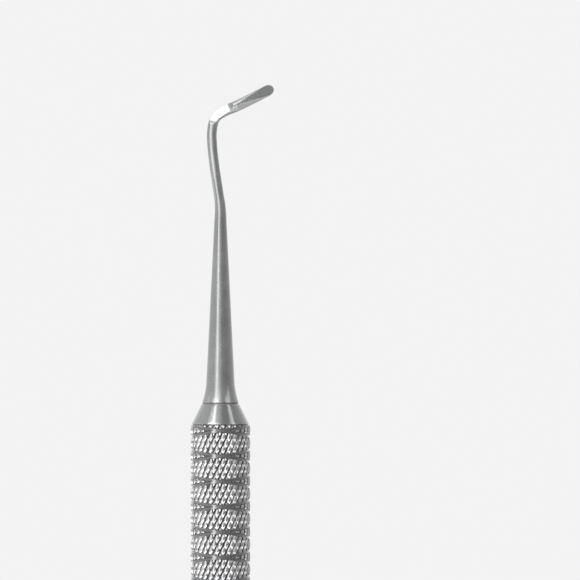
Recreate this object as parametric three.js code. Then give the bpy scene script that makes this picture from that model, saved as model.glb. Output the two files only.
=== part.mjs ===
// Double-ended hand instrument: a hollow knurled handle with a brazed-in bent blade at each end.
// Millimetres, +Z up along the handle's axis, origin on the axis half way along the handle.

import * as THREE from 'three';

// Handle tube
const HANDLE_LENGTH = 70;
const HANDLE_RADIUS = 4.75;
const BORE_RADIUS = 3.5;

// Two crossed V grooves wind round the handle, one right-handed and one left-handed. They cross on
// the front of the handle, and half a turn further on they cross on its back.
const GROOVE_LEAD = 4;
const GROOVE_HALF_WIDTH = 0.36;
const GROOVE_DEPTH = 0.3;
const FIRST_CROSSING_INSET = 1;

// Nose cones: end plugs with a spigot pressed into the tube
const CONE_LENGTH = 3.2;
const CONE_BASE_RADIUS = 4.55;
const CONE_TIP_RADIUS = 2.94;
const SPIGOT_RADIUS = 3.44;
const SPIGOT_LENGTH = 8;
const SPIGOT_CHAMFER = 0.4;
const SOCKET_RADIUS = 1.55;

// Braze filling the joint between a cone and a working end
const BRAZE_THICKNESS = 0.24;
const BRAZE_RADIUS = 2.86;

// Working ends: what both have in common
const TANG_RADIUS = 1.5;
const TANG_LENGTH = 10.5;
const TANG_CHAMFER = 0.3;
const NECK_TAPER = 0.0495;
const FLARE_EXTRA = 0.49;
const FLARE_LENGTH = 4;
const FLARE_POWER = 2.5;
const FACE_HEIGHT = 0.14;
const RUNOUT_LENGTH = 1.7;

// The back of a blade carries three flats. The tongue thins the blade towards its tip.
const TONGUE_TIP_HEIGHT = 0.03;
const TONGUE_ROOT_HEIGHT = 0.8;

// The flank lies along one edge and slopes across the blade
const FLANK_HEIGHT = 0.713;
const FLANK_SLOPE = 0.67;
const FLANK_RUNOUT = 0.2;

// The facet is a plane across the back of the bend, which curves off the bar at both ends
const FACET_HEIGHT = 0.36;
const FACET_SIDE_SLOPE = 0.262;
const FACET_RISE_SLOPE = 0.35;
const FACET_EASE = 0.35;

// Sections of the bar: how many each stretch has, and where the straight taper and the bend end
const FLARE_STEPS = 5;
const STRAIGHT_STEPS = 3;
const LEANING_STEPS = 9;
const BEND_STEPS = 16;
const BLADE_STEPS = 12;
const ROUND_END_STEPS = 5;
const ROUND_END_SWEEP = 0.96 * (Math.PI / 2);
const STRAIGHT_LENGTH = 28;
const BEFORE_RUNOUT = 0.2;
const INTO_BLADE = 1;
const ROUTE_DIVISIONS = 4000;

// Facets round each kind of piece
const HANDLE_SEGMENTS = 32;
const CONE_SEGMENTS = 48;
const BAR_SEGMENTS = 24;

// Heights along the axis from the middle of the handle
const RIM_HEIGHT = HANDLE_LENGTH / 2;
const CONE_TOP_HEIGHT = RIM_HEIGHT + CONE_LENGTH;
const SHOULDER_HEIGHT = CONE_TOP_HEIGHT + BRAZE_THICKNESS;

// Each working end's centreline lies in one plane. Its points are [sideways, along the axis], from
// the shoulder to the tip, and the blade leans to the positive side.
const UPPER_END = {
  centreline: [
    [0, 0], [0, 16], [0, 27.5], [-0.03, 31], [-0.38, 33.6], [-0.92, 37.2], [-1.3, 40.7],
    [-1.33, 43], [-0.85, 44.9], [0.35, 45.88], [3.4, 47.31], [8.37, 49.81],
  ],
  neckRadius: 2.39,
  shankRadius: 0.78,
  bladeHalfWidth: 0.88,
  bladeHalfThickness: 0.8,
  bladeLength: 8.2,
  wideningLength: 3,
  faceLength: 10.2,
  tongueLength: 6.2,
  flankLength: 6.4,
  facet: { start: 7.9, middle: 9.3, end: 10.7 },
  roundEndLength: 1.15,
};

const LOWER_END = {
  centreline: [
    [0, 0], [0, 16], [0, 28], [-0.02, 31.2], [-0.38, 33.9], [-1.06, 37.7], [-1.6, 40.8],
    [-1.8, 43.6], [-1.65, 45.2], [-0.65, 46.7], [0.6, 47.42], [4.15, 48.81], [9.2, 50.75],
  ],
  neckRadius: 2.44,
  shankRadius: 0.765,
  bladeHalfWidth: 1.045,
  bladeHalfThickness: 0.78,
  bladeLength: 10.2,
  wideningLength: 3.8,
  faceLength: 11.7,
  tongueLength: 7.4,
  flankLength: 7.7,
  facet: { start: 9.5, middle: 10.9, end: 12.3 },
  roundEndLength: 1.9,
};

const handleSteel = new THREE.MeshStandardMaterial({ color: 0xc6c7c9, roughness: 0.22, metalness: 1 });
const coneSteel = new THREE.MeshStandardMaterial({ color: 0xa9abad, roughness: 0.34, metalness: 1 });
const bladeSteel = new THREE.MeshStandardMaterial({ color: 0xa2a4a6, roughness: 0.36, metalness: 1 });
const brazeMetal = new THREE.MeshStandardMaterial({ color: 0x6f6d69, roughness: 0.55, metalness: 1 });

// A turned piece with the given [radius, height] profile, which this closes on itself
function turned(profile, segments) {
  const outline = [...profile, profile[0]];
  const points = outline.map(([radius, height]) => new THREE.Vector2(radius, height));
  return new THREE.LatheGeometry(points, segments).rotateX(Math.PI / 2);
}

// The [radius, height] profile of the grooved surface along one line of the handle. away is 0 on
// the front line, where the grooves cross, and 1 on the back line, where they cross again.
function groovedProfile(away) {
  const firstCrossing = FIRST_CROSSING_INSET - RIM_HEIGHT;
  const crossings = (HANDLE_LENGTH - 2 * FIRST_CROSSING_INSET) / GROOVE_LEAD + 1;
  const spread = (GROOVE_LEAD / 2) * away;
  const bottoms = [];
  for (let i = 0; i < crossings; i += 1) {
    const crossing = firstCrossing + i * GROOVE_LEAD;
    bottoms.push(crossing - spread, crossing + spread);
  }
  const depthAt = (height) => {
    const nearest = Math.min(...bottoms.map((bottom) => Math.abs(height - bottom)));
    return GROOVE_DEPTH * Math.max(0, 1 - nearest / GROOVE_HALF_WIDTH);
  };
  const heights = [-RIM_HEIGHT];
  bottoms.forEach((bottom, i) => {
    const toLast = i > 0 ? (bottom - bottoms[i - 1]) / 2 : GROOVE_HALF_WIDTH;
    const toNext = i + 1 < bottoms.length ? (bottoms[i + 1] - bottom) / 2 : GROOVE_HALF_WIDTH;
    heights.push(bottom - Math.min(toLast, GROOVE_HALF_WIDTH));
    heights.push(bottom);
    heights.push(bottom + Math.min(toNext, GROOVE_HALF_WIDTH));
  });
  heights.push(RIM_HEIGHT);
  return heights.map((height) => {
    const kept = THREE.MathUtils.clamp(height, -RIM_HEIGHT, RIM_HEIGHT);
    return [HANDLE_RADIUS - depthAt(kept), kept];
  });
}

// A plain tube whose outer surface is then moved to the grooved profile of each of its lines
function handleTube() {
  const bore = [[BORE_RADIUS, RIM_HEIGHT], [BORE_RADIUS, -RIM_HEIGHT]];
  const frontProfile = [...groovedProfile(0), ...bore];
  const rows = frontProfile.length + 1;
  const tube = turned(frontProfile, HANDLE_SEGMENTS);
  const position = tube.attributes.position;
  for (let line = 0; line <= HANDLE_SEGMENTS; line += 1) {
    const turn = line / HANDLE_SEGMENTS;
    const angle = 2 * Math.PI * turn;
    const profile = groovedProfile(1 - Math.abs(1 - 2 * turn));
    const closed = [...profile, ...bore, profile[0]];
    closed.forEach(([radius, height], row) => {
      const x = radius * Math.sin(angle);
      const y = -radius * Math.cos(angle);
      position.setXYZ(line * rows + row, x, y, height);
    });
  }
  return tube;
}

// Heights are from the rim of the tube
function noseCone() {
  return turned([
    [SOCKET_RADIUS, -SPIGOT_LENGTH],
    [SPIGOT_RADIUS - SPIGOT_CHAMFER, -SPIGOT_LENGTH],
    [SPIGOT_RADIUS, -SPIGOT_LENGTH + SPIGOT_CHAMFER],
    [SPIGOT_RADIUS, 0],
    [CONE_BASE_RADIUS, 0],
    [CONE_TIP_RADIUS, CONE_LENGTH],
    [SOCKET_RADIUS, CONE_LENGTH],
  ], CONE_SEGMENTS);
}

function brazeRing() {
  return turned([
    [SOCKET_RADIUS, 0],
    [BRAZE_RADIUS, 0],
    [BRAZE_RADIUS, BRAZE_THICKNESS],
    [SOCKET_RADIUS, BRAZE_THICKNESS],
  ], CONE_SEGMENTS);
}

// Distances along the centreline of the bar's sections, closer together where it bends or ends
function stationsOf(end, length) {
  const bendStart = length - end.faceLength - RUNOUT_LENGTH - BEFORE_RUNOUT;
  const bendEnd = length - end.bladeLength + INTO_BLADE;
  const roundEndStart = length - end.roundEndLength;
  const stretches = [
    { from: 0, to: FLARE_LENGTH, steps: FLARE_STEPS },
    { from: FLARE_LENGTH, to: STRAIGHT_LENGTH, steps: STRAIGHT_STEPS },
    { from: STRAIGHT_LENGTH, to: bendStart, steps: LEANING_STEPS },
    { from: bendStart, to: bendEnd, steps: BEND_STEPS },
    { from: bendEnd, to: roundEndStart, steps: BLADE_STEPS },
  ];
  const stations = [];
  for (const { from, to, steps } of stretches) {
    for (let i = 0; i < steps; i += 1) {
      stations.push(THREE.MathUtils.lerp(from, to, i / steps));
    }
  }
  for (let i = 0; i <= ROUND_END_STEPS; i += 1) {
    const angle = ROUND_END_SWEEP * (i / ROUND_END_STEPS);
    stations.push(roundEndStart + end.roundEndLength * Math.sin(angle));
  }
  return stations;
}

// Half the width and half the thickness of the bar at a distance from its tip, before grinding
function barAt(end, distance, toTip) {
  const flare = FLARE_EXTRA * Math.max(0, 1 - distance / FLARE_LENGTH) ** FLARE_POWER;
  const neck = end.neckRadius - NECK_TAPER * distance + flare;
  const shank = Math.max(end.shankRadius, neck);
  const wideFrom = end.bladeLength - end.wideningLength / 2;
  const wideTo = end.bladeLength + end.wideningLength / 2;
  const narrowing = THREE.MathUtils.smoothstep(toTip, wideFrom, wideTo);
  const intoRoundEnd = Math.max(0, 1 - toTip / end.roundEndLength);
  const roundEnd = Math.sqrt(1 - intoRoundEnd ** 2);
  return {
    halfWidth: THREE.MathUtils.lerp(end.bladeHalfWidth, shank, narrowing) * roundEnd,
    halfThickness: THREE.MathUtils.lerp(end.bladeHalfThickness, shank, narrowing),
  };
}

// How far the ground face and the ground back lie from the centreline. The face runs out of the bar
// at the bend, and the back is the lowest of its three flats. right and up are measured from the
// middle of the facet.
function groundAt(end, toTip, across, right, up) {
  const runout = Math.max(0, toTip - end.faceLength) / RUNOUT_LENGTH;
  const alongTongue = Math.min(1, toTip / end.tongueLength);
  const beyondTongue = Math.max(0, toTip - end.tongueLength);
  const tongue = THREE.MathUtils.lerp(TONGUE_TIP_HEIGHT, TONGUE_ROOT_HEIGHT, alongTongue) + beyondTongue;
  const beyondFlank = Math.max(0, toTip - end.flankLength);
  const flank = FLANK_HEIGHT - FLANK_SLOPE * across + FLANK_RUNOUT * beyondFlank;
  const beyondFacet = Math.max(0, end.facet.start - toTip) + Math.max(0, toTip - end.facet.end);
  const plane = FACET_HEIGHT + FACET_SIDE_SLOPE * right - FACET_RISE_SLOPE * up;
  const facet = plane + FACET_EASE * beyondFacet ** 2;
  return {
    face: FACE_HEIGHT + runout * (end.shankRadius - FACE_HEIGHT),
    back: Math.max(Math.min(tongue, flank, facet), 0),
  };
}

// One working end, standing on its shoulder, with its blade towards +X and its face towards +Y.
// A cylinder with one row of vertices for each section is bent along the centreline.
function workingEnd(end) {
  const points = end.centreline.map(([side, height]) => new THREE.Vector3(side, 0, height));
  const route = new THREE.CatmullRomCurve3(points, false, 'centripetal');
  route.arcLengthDivisions = ROUTE_DIVISIONS;
  const length = route.getLength();
  const facetMiddle = route.getPointAt(1 - end.facet.middle / length);
  const tang = [
    { radius: TANG_RADIUS - TANG_CHAMFER, height: -TANG_LENGTH },
    { radius: TANG_RADIUS, height: -TANG_LENGTH + TANG_CHAMFER },
    { radius: TANG_RADIUS, height: 0 },
  ];
  const stations = stationsOf(end, length);
  const lastRow = tang.length + stations.length - 1;
  const body = new THREE.CylinderGeometry(1, 1, lastRow, BAR_SEGMENTS, lastRow);
  body.translate(0, lastRow / 2, 0);
  const position = body.attributes.position;
  for (let i = 0; i < position.count; i += 1) {
    const row = Math.round(position.getY(i));
    const side = position.getX(i);
    const depth = -position.getZ(i);
    if (row < tang.length) {
      position.setXYZ(i, tang[row].radius * side, tang[row].radius * depth, tang[row].height);
    } else {
      const distance = stations[row - tang.length];
      const toTip = length - distance;
      const middle = route.getPointAt(distance / length);
      const along = route.getTangentAt(distance / length);
      const bar = barAt(end, distance, toTip);
      const across = bar.halfWidth * side;
      const x = middle.x + across * along.z;
      const z = middle.z - across * along.x;
      const ground = groundAt(end, toTip, across, x - facetMiddle.x, z - facetMiddle.z);
      const thick = THREE.MathUtils.clamp(bar.halfThickness * depth, -ground.back, ground.face);
      position.setXYZ(i, x, thick, z);
    }
  }
  return body;
}

const instrument = new THREE.Group();

function addPiece(parent, name, geometry, material, height) {
  const mesh = new THREE.Mesh(geometry, material);
  mesh.name = name;
  mesh.position.z = height;
  parent.add(mesh);
}

// The cone, braze and working end at one end of the handle, turned over about X for the lower end
function addEnd(name, end, turnOver) {
  const group = new THREE.Group();
  group.rotation.x = turnOver;
  addPiece(group, `${name}_nose_cone`, noseCone(), coneSteel, RIM_HEIGHT);
  addPiece(group, `${name}_braze_ring`, brazeRing(), brazeMetal, CONE_TOP_HEIGHT);
  addPiece(group, `${name}_working_end`, workingEnd(end), bladeSteel, SHOULDER_HEIGHT);
  instrument.add(group);
}

addPiece(instrument, 'handle_tube', handleTube(), handleSteel, 0);
addEnd('upper', UPPER_END, 0);
addEnd('lower', LOWER_END, Math.PI);

export default instrument;
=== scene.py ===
"""Double-ended dental elevator: satin steel working ends, turned cones and a knurled, grooved handle.

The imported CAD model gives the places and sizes. Each CAD solid is replaced by a finer mesh of the
same piece, built in millimetres and scaled to metres.
"""
import math

import bpy
import numpy as np
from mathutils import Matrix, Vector


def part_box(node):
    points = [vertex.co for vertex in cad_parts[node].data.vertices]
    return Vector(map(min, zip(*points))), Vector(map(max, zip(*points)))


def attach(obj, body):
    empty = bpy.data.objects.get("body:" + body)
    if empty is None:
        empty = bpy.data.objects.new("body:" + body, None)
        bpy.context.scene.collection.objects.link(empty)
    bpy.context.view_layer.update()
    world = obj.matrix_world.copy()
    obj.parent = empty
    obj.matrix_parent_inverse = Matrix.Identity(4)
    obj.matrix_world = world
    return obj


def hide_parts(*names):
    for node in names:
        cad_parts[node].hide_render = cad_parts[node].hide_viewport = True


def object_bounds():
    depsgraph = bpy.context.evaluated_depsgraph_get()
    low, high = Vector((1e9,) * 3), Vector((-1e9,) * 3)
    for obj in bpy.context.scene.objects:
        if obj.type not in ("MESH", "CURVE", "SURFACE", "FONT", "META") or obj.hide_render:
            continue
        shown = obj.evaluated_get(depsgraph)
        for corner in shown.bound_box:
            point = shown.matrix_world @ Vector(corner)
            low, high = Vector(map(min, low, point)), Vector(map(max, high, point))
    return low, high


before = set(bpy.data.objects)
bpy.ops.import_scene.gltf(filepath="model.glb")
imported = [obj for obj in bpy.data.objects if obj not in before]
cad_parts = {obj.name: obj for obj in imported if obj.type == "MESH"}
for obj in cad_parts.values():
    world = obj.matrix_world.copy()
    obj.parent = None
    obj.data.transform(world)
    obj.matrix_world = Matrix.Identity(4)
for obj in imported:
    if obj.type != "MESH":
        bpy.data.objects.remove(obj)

CAD_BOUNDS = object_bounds()
MM = 0.001
BODY = "root"


# ---------------------------------------------------------------- sizes from the frame, in millimetres

def span(node, axis):
    """Lowest and highest coordinate of a CAD node along one axis, in millimetres."""
    low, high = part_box(node)
    return low[axis] / MM, high[axis] / MM


X, Z = 0, 2
RIM = span("handle_tube", Z)[1]
HANDLE_RADIUS = span("handle_tube", X)[1]
RING_BOTTOM, RING_TOP = span("upper_braze_ring", Z)
RING_RADIUS = span("upper_braze_ring", X)[1]
CONE_BASE_RADIUS = span("upper_nose_cone", X)[1]
SPIGOT_LENGTH = RIM - span("upper_nose_cone", Z)[0]
TANG_LENGTH = RING_TOP - span("upper_working_end", Z)[0]

# Handle
BORE_RADIUS = 3.5
GROOVE_LEAD = 4.0
FIRST_CROSSING_INSET = 1.0
CROSSING_HEIGHT = (RIM - FIRST_CROSSING_INSET) % GROOVE_LEAD
TEETH_ROUND = 29
TEETH_ALONG = 35
TOOTH_STEPS = 8
# Half of a tooth's section: [way from the valley to the middle of the tooth, depth in mm]. The
# valleys that rise to the right are the deeper ones.
RISING_SECTION = [(0, 0.25), (0.25, 0.145), (0.5, 0.05), (0.75, 0.014), (1, 0)]
FALLING_SECTION = [(0, 0.15), (0.25, 0.07), (0.5, 0.02), (0.75, 0.005), (1, 0)]
DEEPEST_VALLEY = 0.28
RIM_CHAMFER = 0.22
GROOVE_STEPS_PER_TURN = 28
# Half of the groove's section: [across, height above the handle's surface]
GROOVE_SECTION = [(0.17, -0.28), (0.21, -0.21), (0.28, -0.07), (0.39, 0.2)]
# The knurled pads fall off towards the grooves
SHOULDER_DROP = 0.075
SHOULDER_WIDTH = 0.95
SHOULDER_POWER = 1.6
KNURL_CREASE = math.radians(28)

# Cones and braze
CONE_TIP_RADIUS = 2.94
SPIGOT_RADIUS = 3.44
SOCKET_RADIUS = 1.55
EDGE_ROUND = 0.08
LONGEST_SIDE = 0.4
BRAZE_HOLLOW = 0.06
BRAZE_WALL_POINTS = 9
TURNED_SEGMENTS = 256

# Working ends
TANG_RADIUS = 1.5
TANG_CHAMFER = 0.3
TANG_EDGE = 0.05
TANG_EDGE_DROP = 0.01
NECK_TAPER = 0.0495
FLARE_EXTRA = 0.49
FLARE_LENGTH = 4.0
FLARE_POWER = 2.5
FACE_HEIGHT = 0.14
RUNOUT_LENGTH = 1.7
# The flat on the blade's back that thins it towards the tip: its height there and at its root
TONGUE_HEIGHTS = (0.03, 0.80)
# A plane ground across the back of the bend: how it slopes to the side and upwards, and how it
# curves off the bar at both ends
ROOT_FACET_SLOPE = (0.262, 0.35)
ROOT_FACET_EASE = 0.35
# A flat along the lower side of the back: its height over the centreline, its slope across the
# blade and how it runs out at the root
FLANK_HEIGHT = 0.713
FLANK_SLOPE = 0.67
FLANK_RUNOUT = 0.2
# A shallow flat down the shank below the bend: its height and slope, its middle's distance from the
# tip, its half length and how it eases out
SHANK_FLAT = dict(height=0.76, slope=0.21, middle=14.0, half_length=3.0, ease=0.01)
# How wide the worn edges between the ground flats are
WORN_EDGE = 0.05
# How far the brushed lines slant across the blade for each millimetre of its length
BLADE_SLANT = 0.7
BLADE_CREASE = math.radians(40)
# Sections of the bar: where the straight taper ends, how far the bend reaches each side of the
# blade's root, and how many sections the flare, the taper, the lean, the bend and the blade have
STRAIGHT_LENGTH = 28
BEND_BEFORE_BLADE = 4
BEND_INTO_BLADE = 2.5
SECTION_COUNTS = (24, 48, 90, 150, 80)
ROUND_END_SECTIONS = 28
ROUND_END_SWEEP = 0.995 * math.pi / 2
BAR_POINTS = 96

UPPER_END = dict(
    centreline=[(0, 0), (0, 16), (0, 27.5), (-0.03, 31), (-0.38, 33.6), (-0.92, 37.2), (-1.3, 40.7),
                (-1.33, 43), (-0.85, 44.9), (0.35, 45.88), (3.4, 47.31), (8.37, 49.81)],
    neck_radius=2.39, shank_radius=0.78, blade_half_width=0.88, blade_half_thickness=0.8,
    blade_length=8.2, widening_length=3.0, face_length=10.2, tongue_length=6.2, round_end_length=1.15,
    flank_length=6.4, root_facet=dict(start=7.9, middle=9.3, end=10.7, height=0.36),
)
LOWER_END = dict(
    centreline=[(0, 0), (0, 16), (0, 28), (-0.02, 31.2), (-0.38, 33.9), (-1.06, 37.7), (-1.6, 40.8),
                (-1.8, 43.6), (-1.65, 45.2), (-0.65, 46.7), (0.6, 47.42), (4.15, 48.81), (9.2, 50.75)],
    neck_radius=2.44, shank_radius=0.765, blade_half_width=1.045, blade_half_thickness=0.78,
    blade_length=10.2, widening_length=3.8, face_length=11.7, tongue_length=7.4, round_end_length=1.9,
    flank_length=7.7, root_facet=dict(start=9.5, middle=10.9, end=12.3, height=0.36),
)

# Finishes: the darkest and the palest colour, roughness, how fine the brushed lines are and how deep
SATIN = dict(dark=(0.60, 0.605, 0.61, 1), light=(0.70, 0.705, 0.71, 1), rough=0.29, fineness=9.0,
             depth=0.09)
TURNED = dict(dark=(0.60, 0.605, 0.61, 1), light=(0.70, 0.705, 0.71, 1), rough=0.17, fineness=12.0,
              depth=0.12)
BRAZED = dict(dark=(0.26, 0.25, 0.24, 1), light=(0.42, 0.41, 0.40, 1), rough=0.42, fineness=6.0, depth=0.5)
# Brushed steel: how often its lines and scratches change along a millimetre of the piece, how much
# coarser the scratches are, and how much smoother and rougher than its roughness the surface gets
LINES_ALONG = 0.12
SCRATCHES_ALONG = 0.5
SCRATCH_COARSENESS = 0.4
SMOOTHER = 0.05
ROUGHER = 0.06
# The part of the noise's range over which the colour and the gloss change
TONE_RANGE = (0.36, 0.64)
GLOSS_RANGE = (0.35, 0.65)
# Knurl: the depths between which the crests' colour turns into the valleys' painted shade and how far
# clouds shift it, and the distances from a groove's middle between which the groove's floor and its
# painted shade end
CREST_COLOUR = (0.96, 0.96, 0.97, 1)
# Painted shade: the valleys and the groove floors are coloured darker, standing in for the shade down in
# them
PAINTED_VALLEY_SHADE = (0.16, 0.16, 0.165, 1)
PAINTED_GROOVE_SHADE = (0.48, 0.48, 0.485, 1)
PAINTED_SHADE_DEPTHS = (0.06, 0.2)
PAINTED_SHADE_SHIFT = 0.12
GROOVE_EDGE = (0.20, 0.26)
TEETH_ROUGHNESS = 0.20
GROOVE_ROUGHNESS = 0.07
FINE_ROUGHNESS = 0.08
KNURL_BUMP = 0.3
PAPER_DARK = (0.94, 0.94, 0.94, 1)
PAPER_LIGHT = (0.97, 0.97, 0.97, 1)
PAPER_ROUGHNESS = 0.9
# Noise cells in a metre, and how high the bumps stand in metres
STEEL_CLOUDS = 260.0
KNURL_CLOUDS = 900.0
KNURL_GRAIN = 3200.0
PAPER_FIBRES = 60.0
BUMP_HEIGHT = 0.00002


# ---------------------------------------------------------------- mesh helpers

def smoothstep(value, start, end):
    t = np.clip((np.asarray(value, float) - start) / (end - start), 0, 1)
    return t * t * (3 - 2 * t)


def new_object(name, points, faces):
    """A smooth-shaded object from points in millimetres."""
    mesh = bpy.data.meshes.new(name)
    mesh.from_pydata((np.asarray(points) * MM).tolist(), [], faces)
    mesh.update()
    mesh.shade_smooth()
    obj = bpy.data.objects.new(name, mesh)
    bpy.context.scene.collection.objects.link(obj)
    return obj


def add_attribute(obj, name, values):
    """Stores one number or one vector for each vertex, for the materials to read."""
    values = np.asarray(values, np.float32)
    kind, field = ("FLOAT", "value") if values.ndim == 1 else ("FLOAT_VECTOR", "vector")
    attribute = obj.data.attributes.new(name, kind, "POINT")
    attribute.data.foreach_set(field, values.ravel())


def ring_faces(rows, columns, closed_rows=False):
    """Quads of a grid whose columns wrap round, and whose rows do too if closed_rows."""
    row = np.arange(rows if closed_rows else rows - 1)[:, None]
    column = np.arange(columns)[None, :]
    following = (column + 1) % columns
    below, above = row * columns, ((row + 1) % rows) * columns
    quads = np.stack([below + column, below + following, above + following, above + column], axis=-1)
    return quads.reshape(-1, 4)


def turned(name, profile):
    """A turned piece from a closed [radius, height] profile."""
    profile = np.asarray(profile, float)
    angle = np.linspace(0, 2 * math.pi, TURNED_SEGMENTS, endpoint=False)
    radius, height = profile[:, 0, None], profile[:, 1, None]
    points = np.stack([radius * np.sin(angle), -radius * np.cos(angle), height + 0 * angle], axis=-1)
    faces = ring_faces(len(profile), TURNED_SEGMENTS, closed_rows=True)
    obj = new_object(name, points.reshape(-1, 3), faces.tolist())
    spin = np.stack([np.sin(angle) + 0 * height, -np.cos(angle) + 0 * height, height + 0 * angle], axis=-1)
    add_attribute(obj, "grain", spin.reshape(-1, 3))
    return obj


def rounded(corners, radius, steps=4):
    """A closed outline with each corner cut back, by a third of a side at most, and rounded."""
    corners = [np.array(c, float) for c in corners]
    out = []
    for i, corner in enumerate(corners):
        before, after = corners[i - 1] - corner, corners[(i + 1) % len(corners)] - corner
        cut = min(radius, np.hypot(*before) / 3, np.hypot(*after) / 3)
        start = corner + before / np.hypot(*before) * cut
        end = corner + after / np.hypot(*after) * cut
        for k in range(steps + 1):
            t = k / steps
            out.append((1 - t) ** 2 * start + 2 * t * (1 - t) * corner + t * t * end)
    return out


def subdivided(profile, longest):
    """The same closed outline with its long sides split."""
    out = []
    for i, point in enumerate(profile):
        following = profile[(i + 1) % len(profile)]
        parts = max(1, math.ceil(np.hypot(*(following - point)) / longest))
        out += [point + (following - point) * k / parts for k in range(parts)]
    return out


def turn_over(obj):
    """Turns a piece of the upper end over about X, to the lower end."""
    points = np.array([v.co for v in obj.data.vertices])
    points[:, 1:] *= -1
    obj.data.vertices.foreach_set("co", points.ravel())
    obj.data.update()


# ---------------------------------------------------------------- handle

def tooth_depth(phase, section):
    """Depth below the knurl's crests, for one family of valleys that lie at whole phases."""
    from_valley = 2 * np.abs(phase - np.round(phase))
    return np.interp(from_valley, *np.transpose(section))


def groove_distance(turn, height):
    """Distance along the axis to the nearest of the crossed grooves."""
    away = GROOVE_LEAD
    for hand in (1, -1):
        offset = (height - CROSSING_HEIGHT - hand * GROOVE_LEAD * turn) / GROOVE_LEAD
        away = np.minimum(away, np.abs(offset - np.round(offset)) * GROOVE_LEAD)
    return away


def knurled_tube():
    """The tube with its knurl: an outer grid that follows the teeth, closed by rims and a bore."""
    columns = TEETH_ROUND * TOOTH_STEPS
    rows = TEETH_ALONG * TOOTH_STEPS
    column, row = np.meshgrid(np.arange(columns), np.arange(rows + 1))
    height = -RIM + 2 * RIM * row / rows
    rising = tooth_depth((column - row) / TOOTH_STEPS, RISING_SECTION)
    falling = tooth_depth((column + row) / TOOTH_STEPS, FALLING_SECTION)
    chamfer = np.maximum(0, RIM_CHAMFER - (RIM - np.abs(height)))
    away = groove_distance(column / columns, height)
    shoulder = SHOULDER_DROP * np.clip(1 - away / SHOULDER_WIDTH, 0, 1) ** SHOULDER_POWER
    depth = shoulder + np.maximum(np.maximum(rising, falling), chamfer)
    radius = HANDLE_RADIUS - np.minimum(depth, DEEPEST_VALLEY)
    bore = np.array([[RIM], [-RIM]]) + 0 * column[:2]
    radius = np.vstack([radius, BORE_RADIUS + 0 * bore])
    height = np.vstack([height, bore])
    angle = 2 * math.pi * np.vstack([column, column[:2]]) / columns
    points = np.stack([radius * np.sin(angle), -radius * np.cos(angle), height], axis=-1)
    quads = ring_faces(rows + 3, columns, closed_rows=True)
    # Each quad is split along the family of valleys that is the deeper one there.
    middle_row, middle_column = quads[:, 0] // columns + 0.5, quads[:, 0] % columns + 0.5
    falling = tooth_depth((middle_column + middle_row) / TOOTH_STEPS, FALLING_SECTION)
    rising = tooth_depth((middle_column - middle_row) / TOOTH_STEPS, RISING_SECTION)
    along_falling = (falling > rising)[:, None]
    first = np.where(along_falling, quads[:, [0, 1, 3]], quads[:, [0, 1, 2]])
    second = np.where(along_falling, quads[:, [1, 2, 3]], quads[:, [0, 2, 3]])
    triangles = np.vstack([first, second])
    return new_object("handle", points.reshape(-1, 3), triangles.tolist())


def groove_cutter(name, hand):
    """A bar with the groove's section, wound round the handle as a right- or left-hand screw."""
    half = np.array(GROOVE_SECTION)
    section = np.vstack([half, half[::-1] * [-1, 1]])
    turns = math.ceil(2 * RIM / GROOVE_LEAD) + 1
    steps = turns * GROOVE_STEPS_PER_TURN
    turn = (np.arange(steps + 1) / steps - 0.5)[:, None] * turns
    radius = HANDLE_RADIUS + section[None, :, 1] + 0 * turn
    height = CROSSING_HEIGHT + hand * GROOVE_LEAD * turn + section[None, :, 0]
    angle = 2 * math.pi * turn + 0 * radius
    points = np.stack([radius * np.sin(angle), -radius * np.cos(angle), height], axis=-1)
    count = len(section)
    start, end = list(range(count)), list(range(steps * count, (steps + 1) * count))
    faces = ring_faces(steps + 1, count).tolist() + [start[::-1], end]
    return new_object(name, points.reshape(-1, 3), faces)


def cut(obj, cutters):
    """Subtracts the cutters and removes them."""
    for cutter in cutters:
        modifier = obj.modifiers.new("cut", "BOOLEAN")
        modifier.operation = "DIFFERENCE"
        modifier.solver = "MANIFOLD"
        modifier.object = cutter
    graph = bpy.context.evaluated_depsgraph_get()
    mesh = bpy.data.meshes.new_from_object(obj.evaluated_get(graph), depsgraph=graph)
    obj.modifiers.clear()
    obj.data = mesh
    for cutter in cutters:
        bpy.data.objects.remove(cutter)


def handle():
    obj = knurled_tube()
    cut(obj, [groove_cutter("groove_right", 1), groove_cutter("groove_left", -1)])
    obj.data.shade_smooth()
    obj.data.set_sharp_from_angle(angle=KNURL_CREASE)
    points = np.array([v.co for v in obj.data.vertices]) / MM
    radius = np.hypot(points[:, 0], points[:, 1])
    # How deep each point lies below the crests; the knurl's painted shade darkens with it
    add_attribute(obj, "sunk", HANDLE_RADIUS - radius)
    turn = np.arctan2(points[:, 0], -points[:, 1]) / (2 * math.pi)
    add_attribute(obj, "from_groove", groove_distance(turn, points[:, 2]))
    return obj


# ---------------------------------------------------------------- cones and braze

def nose_cone(name):
    """The cone and the spigot behind it, with the tang's socket bored through both."""
    outline = rounded([
        (SOCKET_RADIUS, RIM - SPIGOT_LENGTH), (SPIGOT_RADIUS, RIM - SPIGOT_LENGTH),
        (SPIGOT_RADIUS, RIM), (CONE_BASE_RADIUS, RIM), (CONE_TIP_RADIUS, RING_BOTTOM),
        (SOCKET_RADIUS, RING_BOTTOM)], EDGE_ROUND)
    return turned(name, subdivided(outline, LONGEST_SIDE))


def braze_ring(name):
    """The braze is drawn in between the two pieces, so its outer wall is hollow."""
    middle, half = (RING_BOTTOM + RING_TOP) / 2, (RING_TOP - RING_BOTTOM) / 2
    wall = [(RING_RADIUS - BRAZE_HOLLOW * math.cos(t), middle + half * math.sin(t))
            for t in np.linspace(-math.pi / 2, math.pi / 2, BRAZE_WALL_POINTS)]
    return turned(name, [(SOCKET_RADIUS, RING_BOTTOM)] + wall + [(SOCKET_RADIUS, RING_TOP)])


# ---------------------------------------------------------------- working ends

def between(first, last, start, end, t):
    """The point at t on the straight line from first, at start, to last, at end."""
    return (end - t) / (end - start) * first + (t - start) / (end - start) * last


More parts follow.
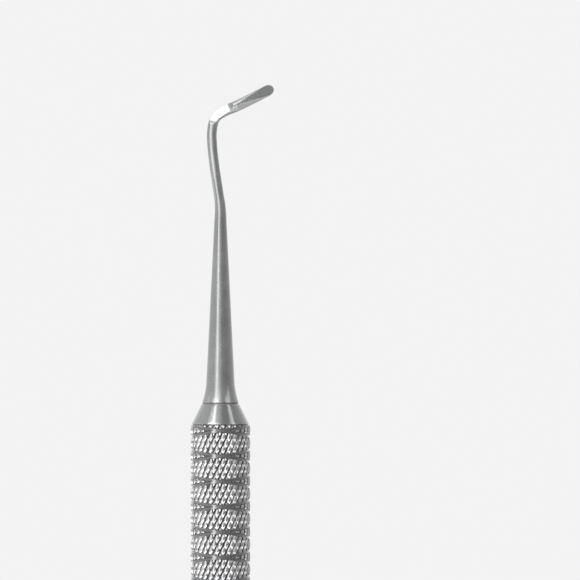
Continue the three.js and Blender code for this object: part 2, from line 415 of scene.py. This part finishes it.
def catmull_rom(points, samples=120):
    """Points of the centripetal Catmull-Rom curve through the given points, with mirrored ends."""
    given = np.array(points, float)
    given = np.vstack([2 * given[0] - given[1], given, 2 * given[-1] - given[-2]])
    out = []
    for i in range(1, len(given) - 2):
        p = given[i - 1:i + 3]
        knot = np.concatenate([[0], np.cumsum(np.hypot(*np.diff(p, axis=0).T) ** 0.5)])
        t = np.linspace(knot[1], knot[2], samples, endpoint=i == len(given) - 3)[:, None]
        a1, a2, a3 = (between(p[k], p[k + 1], knot[k], knot[k + 1], t) for k in range(3))
        b1 = between(a1, a2, knot[0], knot[2], t)
        b2 = between(a2, a3, knot[1], knot[3], t)
        out.append(between(b1, b2, knot[1], knot[2], t))
    return np.vstack(out)


def worn_minimum(*heights):
    """The lowest of several heights, with the edges between them worn round."""
    lowest = np.minimum.reduce(np.broadcast_arrays(*heights))
    total = sum(np.exp((lowest - height) / WORN_EDGE) for height in heights)
    return lowest - WORN_EDGE * np.log(total)


def sections_of(end, length):
    """Distances along the centreline of the bar's sections, closest together at the bend."""
    root, round_end = length - end["blade_length"], length - end["round_end_length"]
    limits = [0, FLARE_LENGTH, STRAIGHT_LENGTH, root - BEND_BEFORE_BLADE, root + BEND_INTO_BLADE, round_end]
    stretches = [np.linspace(first, last, count, endpoint=False)
                 for first, last, count in zip(limits, limits[1:], SECTION_COUNTS)]
    sweep = np.linspace(0, ROUND_END_SWEEP, ROUND_END_SECTIONS)
    return np.concatenate(stretches + [round_end + end["round_end_length"] * np.sin(sweep)])


def bar_size(end, stations, to_tip):
    """Half the width and half the thickness of the bar before it is ground."""
    flare = FLARE_EXTRA * np.maximum(0, 1 - stations / FLARE_LENGTH) ** FLARE_POWER
    shank = np.maximum(end["shank_radius"], end["neck_radius"] - NECK_TAPER * stations + flare)
    narrowing = smoothstep(to_tip, end["blade_length"] - end["widening_length"] / 2,
                           end["blade_length"] + end["widening_length"] / 2)
    into_end = np.maximum(0, 1 - to_tip / end["round_end_length"])
    width = end["blade_half_width"] * (1 - narrowing) + shank * narrowing
    thickness = end["blade_half_thickness"] * (1 - narrowing) + shank * narrowing
    return width * np.sqrt(1 - into_end ** 2), thickness


def ground_face(end, to_tip):
    """Height of the flat face over the centreline. It runs out of the bar at the bend."""
    runout = np.maximum(0, to_tip - end["face_length"]) / RUNOUT_LENGTH
    return FACE_HEIGHT + runout * (end["shank_radius"] - FACE_HEIGHT)


def root_facet(facet, to_tip, right, up):
    """The plane ground across the back of the bend, which eases off the bar at both ends."""
    plane = facet["height"] + ROOT_FACET_SLOPE[0] * right - ROOT_FACET_SLOPE[1] * up
    beyond = np.maximum(0, facet["start"] - to_tip) + np.maximum(0, to_tip - facet["end"])
    return plane + ROOT_FACET_EASE * beyond ** 2


def shank_flat(end, to_tip, across):
    """The shallow flat down the shank, which stops at the blade."""
    beyond = np.maximum(0, np.abs(to_tip - SHANK_FLAT["middle"]) - SHANK_FLAT["half_length"])
    flat = SHANK_FLAT["height"] + SHANK_FLAT["slope"] * across + SHANK_FLAT["ease"] * beyond ** 2
    return np.where(to_tip < end["blade_length"], np.inf, flat)


def ground_back(end, to_tip, across, right, up):
    """Height of the back over the centreline, where the flats meet. right and up are measured from
    the middle of the root facet."""
    tongue = np.interp(to_tip, (0, end["tongue_length"]), TONGUE_HEIGHTS)
    tongue = tongue + np.maximum(0, to_tip - end["tongue_length"])
    flank = FLANK_HEIGHT - FLANK_SLOPE * across
    flank = flank + FLANK_RUNOUT * np.maximum(0, to_tip - end["flank_length"])
    facet = root_facet(end["root_facet"], to_tip, right, up)
    return np.maximum(worn_minimum(tongue, flank, facet, shank_flat(end, to_tip, across)), 0)


def tang_sections():
    """The distance from the shoulder and the radius of each section of the tang."""
    chamfer_top = -TANG_LENGTH + TANG_CHAMFER
    sections = np.array([
        (-TANG_LENGTH, TANG_RADIUS - TANG_CHAMFER),
        (chamfer_top, TANG_RADIUS - TANG_EDGE_DROP),
        (chamfer_top + TANG_EDGE, TANG_RADIUS),
        (-TANG_EDGE, TANG_RADIUS),
        (0, TANG_RADIUS),
    ])
    return sections[:, 0, None], sections[:, 1, None]


def working_end(name, end):
    """The tang, shank and blade: sections set along the centreline, each a round or oval that the
    ground flats cut."""
    line = catmull_rom(end["centreline"])
    travelled = np.concatenate([[0], np.cumsum(np.hypot(*np.diff(line, axis=0).T))])
    length = travelled[-1]
    stations = sections_of(end, length)
    side = np.interp(stations, travelled, line[:, 0])
    up = np.interp(stations, travelled, line[:, 1])
    slope = np.gradient(np.stack([side, up]), stations, axis=1)
    slope /= np.hypot(*slope)

    # From here on a row is a section of the bar and a column is a line along it.
    stations, side, up = stations[:, None], side[:, None], up[:, None]
    to_tip = length - stations
    around = np.linspace(0, 2 * math.pi, BAR_POINTS, endpoint=False)
    half_width, half_thickness = bar_size(end, stations, to_tip)
    across = half_width * np.sin(around)
    depth = half_thickness * np.cos(around)
    x = side + across * slope[1][:, None]
    z = up - across * slope[0][:, None]
    middle = np.argmin(np.abs(to_tip - end["root_facet"]["middle"]))
    back = ground_back(end, to_tip, across, x - side[middle], z - up[middle])
    y = np.minimum(-worn_minimum(back, depth), ground_face(end, to_tip))
    bar = np.stack([x, y, RING_TOP + z], axis=-1)

    tang_height, tang_radius = tang_sections()
    tang = np.stack([tang_radius * np.sin(around), -tang_radius * np.cos(around),
                     RING_TOP + tang_height + 0 * around], axis=-1)
    points = np.vstack([tang, bar])
    rows = len(points)
    faces = ring_faces(rows, BAR_POINTS).tolist()
    faces.append(list(range(BAR_POINTS))[::-1])
    faces.append(list(range((rows - 1) * BAR_POINTS, rows * BAR_POINTS)))
    obj = new_object(name, points.reshape(-1, 3), faces)
    obj.data.set_sharp_from_angle(angle=BLADE_CREASE)

    # The blade is brushed slantwise across its faces and the shank along its length.
    distance = np.vstack([tang_height, stations])
    slant = BLADE_SLANT * np.maximum(0, distance - length + end["face_length"])
    grain = [np.sin(around) + slant, -np.cos(around) + 0 * slant, distance + 0 * around]
    add_attribute(obj, "grain", np.stack(grain, axis=-1).reshape(-1, 3))
    return obj


# ---------------------------------------------------------------- materials

class Nodes:
    """A short way to write a node tree."""

    def __init__(self, tree):
        self.tree = tree
        tree.nodes.clear()

    def add(self, kind, inputs=None, **settings):
        node = self.tree.nodes.new(kind)
        for key, value in settings.items():
            setattr(node, key, value)
        for key, value in (inputs or {}).items():
            if isinstance(value, bpy.types.NodeSocket):
                self.tree.links.new(value, node.inputs[key])
            else:
                node.inputs[key].default_value = value
        return node

    def math(self, operation, *values):
        return self.add("ShaderNodeMath", dict(enumerate(values)), operation=operation).outputs[0]

    def ramp(self, value, low, high, start=0.0, end=1.0, kind="SMOOTHSTEP"):
        node = self.add("ShaderNodeMapRange", {0: value, 1: low, 2: high, 3: start, 4: end},
                        interpolation_type=kind)
        return node.outputs[0]

    def ramp_of_degrees(self, angle, low, high, start=0.0, end=1.0):
        return self.ramp(angle, math.radians(low), math.radians(high), start, end)

    def noise(self, vector, scale, detail=3.0, roughness=0.6):
        node = self.add("ShaderNodeTexNoise", {"Vector": vector, "Scale": scale, "Detail": detail,
                                               "Roughness": roughness})
        return node.outputs[0]

    def scaled(self, vector, scale):
        return self.add("ShaderNodeVectorMath", {0: vector, 1: scale}, operation="MULTIPLY").outputs[0]

    def weighted(self, *terms):
        """The sum of two values, each with its weight."""
        first, second = (self.math("MULTIPLY", value, weight) for value, weight in terms)
        return self.math("ADD", first, second)

    def mix(self, factor, first, second):
        node = self.add("ShaderNodeMix", {0: factor, 6: first, 7: second}, data_type="RGBA")
        return node.outputs[2]

    def attribute(self, name, output):
        return self.add("ShaderNodeAttribute", attribute_name=name).outputs[output]

    def position(self):
        return self.add("ShaderNodeTexCoord").outputs["Object"]

    def surface(self, inputs):
        """Ends a material's tree with its shader."""
        shader = self.add("ShaderNodeBsdfPrincipled", inputs)
        self.add("ShaderNodeOutputMaterial", {"Surface": shader.outputs[0]})


def new_material(name):
    material = bpy.data.materials.new(name)
    material.use_nodes = True
    return material, Nodes(material.node_tree)


def steel(name, dark, light, rough, fineness, depth):
    """Brushed steel: fine lines along the piece, cloudy colour and uneven gloss."""
    material, n = new_material(name)
    grain = n.attribute("grain", "Vector")
    coarse = fineness * SCRATCH_COARSENESS
    line_stretch = (fineness, fineness, LINES_ALONG)
    scratch_stretch = (coarse, coarse, SCRATCHES_ALONG)
    lines = n.noise(n.scaled(grain, line_stretch), 1.0, detail=4.0, roughness=0.7)
    scratches = n.noise(n.scaled(grain, scratch_stretch), 1.0, detail=5.0, roughness=0.75)
    clouds = n.noise(n.position(), STEEL_CLOUDS)
    tone = n.weighted((lines, 0.55), (clouds, 0.45))
    colour = n.mix(n.ramp(tone, *TONE_RANGE), dark, light)
    uneven = n.weighted((scratches, 0.7), (clouds, 0.3))
    gloss = n.ramp(uneven, *GLOSS_RANGE, rough - SMOOTHER, rough + ROUGHER)
    height = n.weighted((lines, 1.0), (scratches, 0.6))
    bump = n.add("ShaderNodeBump", {"Strength": depth, "Distance": BUMP_HEIGHT, "Height": height})
    n.surface({"Base Color": colour, "Metallic": 1.0, "Roughness": gloss, "Normal": bump.outputs[0]})
    return material


def knurl_steel():
    """Bright steel, with painted shade down in the valleys of the knurl and in the grooves."""
    material, n = new_material("knurl_steel")
    position = n.position()
    clouds = n.noise(position, KNURL_CLOUDS, detail=4.0)
    fine = n.noise(n.scaled(position, (1.0, 1.0, 3.0)), KNURL_GRAIN)
    # Painted shade: the colour darkens with depth into the knurl's valleys and over the grooves' floors
    shift = n.math("MULTIPLY", n.math("SUBTRACT", clouds, 0.5), PAINTED_SHADE_SHIFT)
    painted_shade = n.ramp(n.math("ADD", n.attribute("sunk", "Fac"), shift), *PAINTED_SHADE_DEPTHS)
    teeth = n.mix(painted_shade, CREST_COLOUR, PAINTED_VALLEY_SHADE)
    in_teeth = n.ramp(n.attribute("from_groove", "Fac"), *GROOVE_EDGE)
    colour = n.mix(in_teeth, PAINTED_GROOVE_SHADE, teeth)
    smooth = n.ramp(in_teeth, 0.0, 1.0, GROOVE_ROUGHNESS, TEETH_ROUGHNESS)
    rough = n.math("ADD", smooth, n.math("MULTIPLY", fine, FINE_ROUGHNESS))
    bump = n.add("ShaderNodeBump", {"Strength": KNURL_BUMP, "Distance": BUMP_HEIGHT, "Height": fine})
    n.surface({"Base Color": colour, "Metallic": 1.0, "Roughness": rough, "Normal": bump.outputs[0]})
    return material


# ---------------------------------------------------------------- studio

# Brightness of the studio's walls round the instrument: [azimuth in degrees, radiance]. Azimuth 0
# is behind the camera and positive azimuths are on its right.
WALLS = [(-180, 0.95), (-160, 0.80), (-135, 0.58), (-110, 0.50), (-70, 0.46), (-45, 0.43), (-5, 0.46),
         (10, 0.30), (25, 0.25), (60, 0.20), (80, 0.27), (115, 0.37), (140, 0.55), (160, 0.80), (180, 0.95)]
# Softboxes: the azimuth of the middle at the horizon, how far the middle moves for each degree of
# elevation, half width, lowest and highest elevation, how far the edge fades to each side (all in
# degrees) and radiance
SOFTBOXES = [
    dict(azimuth=-28, lean=-0.16, half_width=8, low=-14, high=60, soft=4, radiance=1.15),
    dict(azimuth=-33, lean=0.0, half_width=26, low=34, high=45, soft=3, radiance=1.8),
    dict(azimuth=-26, lean=0.0, half_width=30, low=-30, high=-17, soft=3, radiance=3.4),
    dict(azimuth=-11, lean=0.0, half_width=8, low=18, high=30, soft=4, radiance=0.8),
    dict(azimuth=64, lean=0.0, half_width=8, low=16, high=60, soft=5, radiance=0.7),
    dict(azimuth=48, lean=0.0, half_width=12, low=27, high=37, soft=4, radiance=0.8),
    dict(azimuth=-92, lean=0.0, half_width=18, low=20, high=27, soft=3, radiance=0.45),
    dict(azimuth=40, lean=0.0, half_width=30, low=-75, high=-34, soft=8, radiance=0.38),
    dict(azimuth=-104, lean=0.0, half_width=25, low=-34, high=-14, soft=6, radiance=2.0),
    dict(azimuth=58, lean=0.0, half_width=27, low=-38, high=-20, soft=6, radiance=1.7),
]
# The glow overhead and the one underneath, and how much of the walls' light is kept below the
# horizon: each sets in between two elevations in degrees
OVERHEAD = dict(low=62, high=80, radiance=0.6)
BELOW = dict(low=-35, high=-8, kept=0.7)
UNDERNEATH = dict(low=-70, high=-50, radiance=0.2)
BACKDROP = 0.896
KEY_LIGHT = dict(size=0.5, power=6.0, place=(-0.35, -0.55, 0.9))


def softbox(n, azimuth, elevation, box):
    """One softbox's radiance for a direction."""
    centre = n.math("ADD", n.math("MULTIPLY", elevation, box["lean"]), math.radians(box["azimuth"]))
    offset = n.math("ABSOLUTE", n.math("SUBTRACT", azimuth, centre))
    soft = box["soft"]
    inside = n.ramp_of_degrees(offset, box["half_width"] + soft, box["half_width"] - soft)
    above = n.ramp_of_degrees(elevation, box["low"] - soft, box["low"] + soft)
    below = n.ramp_of_degrees(elevation, box["high"] + soft, box["high"] - soft)
    shape = n.math("MULTIPLY", inside, n.math("MULTIPLY", above, below))
    return n.math("MULTIPLY", shape, box["radiance"])


def walls(n, azimuth):
    """The radiance of the walls, from the list of brightnesses round the room."""
    turn = n.ramp(azimuth, -math.pi, math.pi, kind="LINEAR")
    node = n.add("ShaderNodeValToRGB", {0: turn})
    ramp = node.color_ramp
    ramp.interpolation = "EASE"
    while len(ramp.elements) < len(WALLS):
        ramp.elements.new(0.5)
    for element, (degrees, radiance) in zip(ramp.elements, WALLS):
        element.position = degrees / 360 + 0.5
        element.color = (radiance, radiance, radiance, 1)
    return node.outputs[0]


def studio_world():
    """A pale backdrop that the camera and the floor see, and the softboxes and walls that the steel
    reflects."""
    world = bpy.data.worlds.new("studio")
    bpy.context.scene.world = world
    world.use_nodes = True
    n = Nodes(world.node_tree)
    direction = n.add("ShaderNodeTexCoord").outputs["Generated"]
    parts = n.add("ShaderNodeSeparateXYZ", {0: direction}).outputs
    azimuth = n.math("ARCTAN2", parts[0], n.math("MULTIPLY", parts[1], -1.0))
    elevation = n.math("ARCSINE", parts[2])
    dimmed = n.ramp_of_degrees(elevation, BELOW["low"], BELOW["high"], BELOW["kept"])
    overhead = n.ramp_of_degrees(elevation, OVERHEAD["low"], OVERHEAD["high"], 0.0, OVERHEAD["radiance"])
    underneath = n.ramp_of_degrees(elevation, UNDERNEATH["high"], UNDERNEATH["low"],
                                   0.0, UNDERNEATH["radiance"])
    light = n.math("MULTIPLY", walls(n, azimuth), dimmed)
    light = n.math("ADD", light, overhead)
    light = n.math("ADD", light, underneath)
    for box in SOFTBOXES:
        light = n.math("ADD", light, softbox(n, azimuth, elevation, box))
    ray = n.add("ShaderNodeLightPath").outputs
    plain = n.math("MAXIMUM", ray["Is Camera Ray"], ray["Is Diffuse Ray"])
    studio = n.add("ShaderNodeBackground", {"Color": (1, 1, 1, 1), "Strength": light})
    backdrop = n.add("ShaderNodeBackground", {"Color": (BACKDROP, BACKDROP, BACKDROP, 1), "Strength": 1.0})
    shown = n.add("ShaderNodeMixShader", {0: plain, 1: studio.outputs[0], 2: backdrop.outputs[0]})
    n.add("ShaderNodeOutputWorld", {"Surface": shown.outputs[0]})


def paper():
    material, n = new_material("floor_paper")
    fibres = n.noise(n.position(), PAPER_FIBRES, detail=4.0)
    n.surface({"Base Color": n.mix(fibres, PAPER_DARK, PAPER_LIGHT), "Roughness": PAPER_ROUGHNESS})
    return material


def floor():
    """A wide sheet of paper a little below the instrument."""
    size, drop = 3.0, 0.02
    low = CAD_BOUNDS[0][2] - drop
    mesh = bpy.data.meshes.new("floor")
    mesh.from_pydata([(-size, -size, low), (size, -size, low), (size, size, low), (-size, size, low)],
                     [], [(0, 1, 2, 3)])
    obj = bpy.data.objects.new("floor", mesh)
    bpy.context.scene.collection.objects.link(obj)
    mesh.materials.append(paper())
    obj.visible_glossy = False


def camera():
    """A level long-lens view along +Y, with the upper half of the instrument left of the middle."""
    frame_width, distance, sensor = 91.83 * MM, 1.2, 36.0
    right_of_axis, above_ring = 11.013 * MM, 17.9 * MM
    middle_ring = (RING_BOTTOM + RING_TOP) / 2 * MM
    data = bpy.data.cameras.new("camera")
    data.sensor_width = sensor
    data.lens = sensor * distance / frame_width
    data.clip_end = 20.0
    obj = bpy.data.objects.new("camera", data)
    obj.location = (right_of_axis, -distance, middle_ring + above_ring)
    obj.rotation_euler = (math.pi / 2, 0, 0)
    bpy.context.scene.collection.objects.link(obj)
    bpy.context.scene.camera = obj


def key_light():
    """A soft light in front, high on the left. The steel does not reflect it."""
    data = bpy.data.lights.new("key", "AREA")
    data.size = KEY_LIGHT["size"]
    data.energy = KEY_LIGHT["power"]
    obj = bpy.data.objects.new("key", data)
    obj.location = KEY_LIGHT["place"]
    obj.rotation_euler = (Vector((0, 0, 0)) - obj.location).to_track_quat("-Z", "Y").to_euler()
    obj.visible_glossy = False
    bpy.context.scene.collection.objects.link(obj)


# ---------------------------------------------------------------- the instrument

def place(obj, node, material):
    """Puts a piece in the place of its CAD node, with its material."""
    obj.data.materials.clear()
    obj.data.materials.append(material)
    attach(obj, BODY)
    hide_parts(node)


knurled = knurl_steel()
satin = steel("satin_steel", **SATIN)
cone_finish = steel("turned_steel", **TURNED)
braze_finish = steel("braze_metal", **BRAZED)

place(handle(), "handle_tube", knurled)
for which, end in (("upper", UPPER_END), ("lower", LOWER_END)):
    pieces = [
        (nose_cone(f"{which}_cone"), f"{which}_nose_cone", "cone_steel", cone_finish),
        (braze_ring(f"{which}_braze"), f"{which}_braze_ring", "braze", braze_finish),
        (working_end(f"{which}_blade_and_shank", end), f"{which}_working_end", "blade_steel", satin),
    ]
    for obj, node, slot, material in pieces:
        if which == "lower":
            turn_over(obj)
        place(obj, node, material)

studio_world()
floor()
key_light()
camera()
bpy.context.scene.view_settings.view_transform = "Standard"
